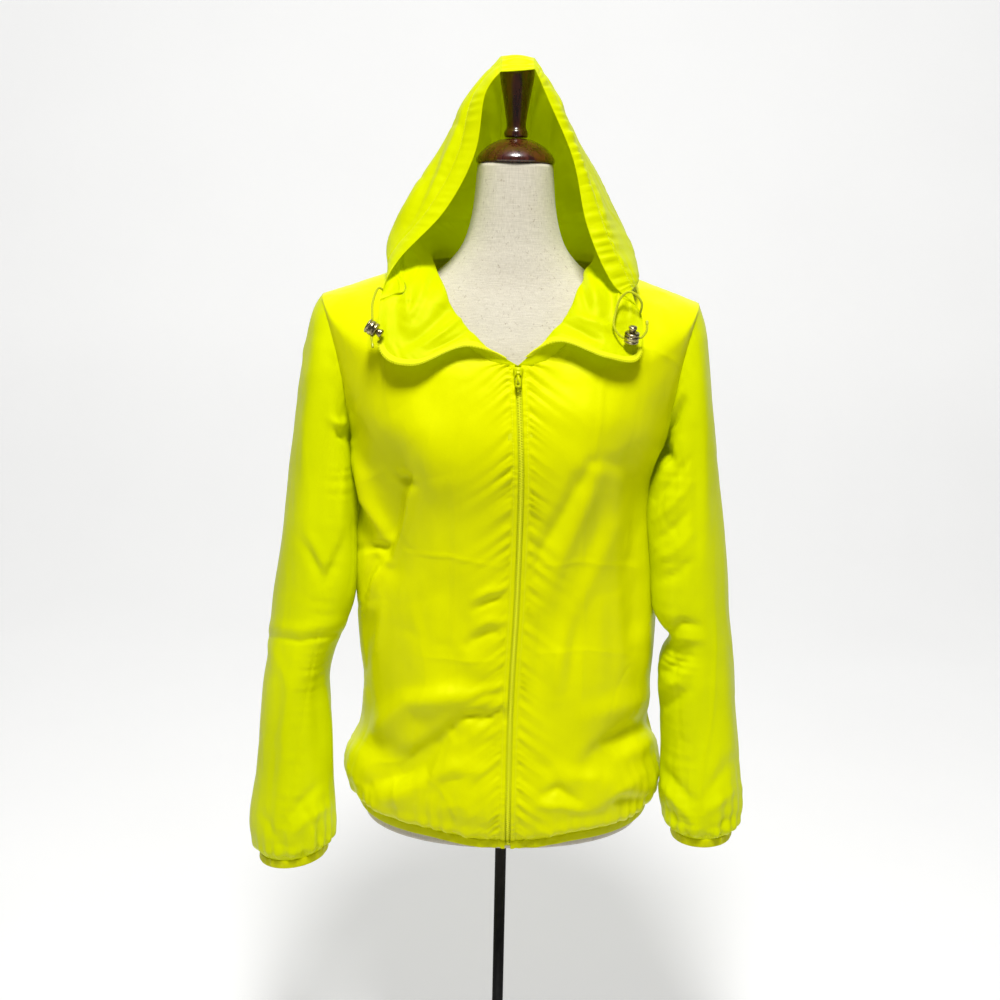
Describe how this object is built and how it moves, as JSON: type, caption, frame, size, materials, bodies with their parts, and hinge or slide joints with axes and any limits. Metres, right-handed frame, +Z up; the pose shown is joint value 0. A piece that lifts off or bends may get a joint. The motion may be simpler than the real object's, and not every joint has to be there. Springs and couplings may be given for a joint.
{
  "type": "windbreaker jacket on dress form",
  "caption": "Lightweight hooded zip jacket in fluorescent yellow cloth, hood raised, worn on a linen dress form with a turned wood finial, pole and round base.",
  "frame": {"origin": "centre of the underside of the round base", "axes": "+Z up along the pole, -Y towards the front of the jacket (the zip), +X towards the viewer's right when facing the zip"},
  "size_m": [0.5493, 0.3, 1.2184],
  "materials": {
    "shell": "thin fluorescent yellow nylon",
    "binding": "elastic binding in yellow",
    "tape": "woven zip tape",
    "teeth": "moulded coil",
    "slider": "yellow enamel",
    "cord": "round elastic cord",
    "lock": "dark antique metal",
    "linen": "natural linen with dark flecks",
    "wood": "glossy mahogany",
    "black_metal": "black enamel"
  },
  "bodies": {
    "form": {"front_left": "shell", "front_right": "shell", "back": "shell", "sleeve_left": "shell", "sleeve_right": "shell", "collar": "shell", "hood_side_left": "shell", "hood_side_right": "shell", "hood_gusset": "shell", "cuff_binding_left": "binding", "cuff_binding_right": "binding", "hem_binding": "binding", "zip_tape_left": "tape", "zip_tape_right": "tape", "zip_teeth": "teeth", "zip_edge_left": "teeth", "zip_edge_right": "teeth", "slider": "slider", "drawcord_left": "cord", "drawcord_right": "cord", "cord_lock_left": "lock", "cord_lock_right": "lock", "cord_plunger_left": "lock", "cord_plunger_right": "lock", "form_torso": "linen", "neck_cap": "wood", "finial": "wood", "pole": "black_metal", "base": "black_metal"},
    "pull_tab": {"pull_tab": "slider"}
  },
  "joints": [
    {"name": "pull_tab_hinge", "type": "hinge", "parent": "form", "child": "pull_tab", "pos_m": [0.00632, -0.12131, 0.90732], "axis": [-1, 0, 0], "range_deg": [0, 130]}
  ]
}
